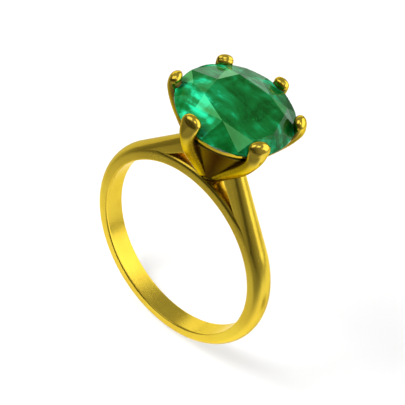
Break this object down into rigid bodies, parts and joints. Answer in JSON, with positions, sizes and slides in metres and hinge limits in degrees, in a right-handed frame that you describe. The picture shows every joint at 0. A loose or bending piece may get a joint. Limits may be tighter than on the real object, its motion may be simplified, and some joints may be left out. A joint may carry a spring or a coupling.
{
  "type": "cocktail ring",
  "caption": "Gold finger ring with a large round green stone held by folded claws over cathedral shoulders.",
  "frame": {"origin": "centre of the finger hole, on its axis, midway across the band", "axes": "+Y along the finger, +X across the hoop, +Z from the finger hole up to the stone"},
  "size_m": [0.0198, 0.0114, 0.0285],
  "materials": {
    "gold": "polished yellow gold with a fine satin grain",
    "emerald": "faceted deep green stone"
  },
  "bodies": {
    "root": {"shank": "gold", "shoulder_left": "gold", "shoulder_right": "gold", "head_base": "gold", "gallery_rail": "gold", "claw_right_back": "gold", "claw_back": "gold", "claw_left_back": "gold", "claw_left_front": "gold", "claw_front": "gold", "claw_right_front": "gold", "stone": "emerald"}
  },
  "joints": []
}
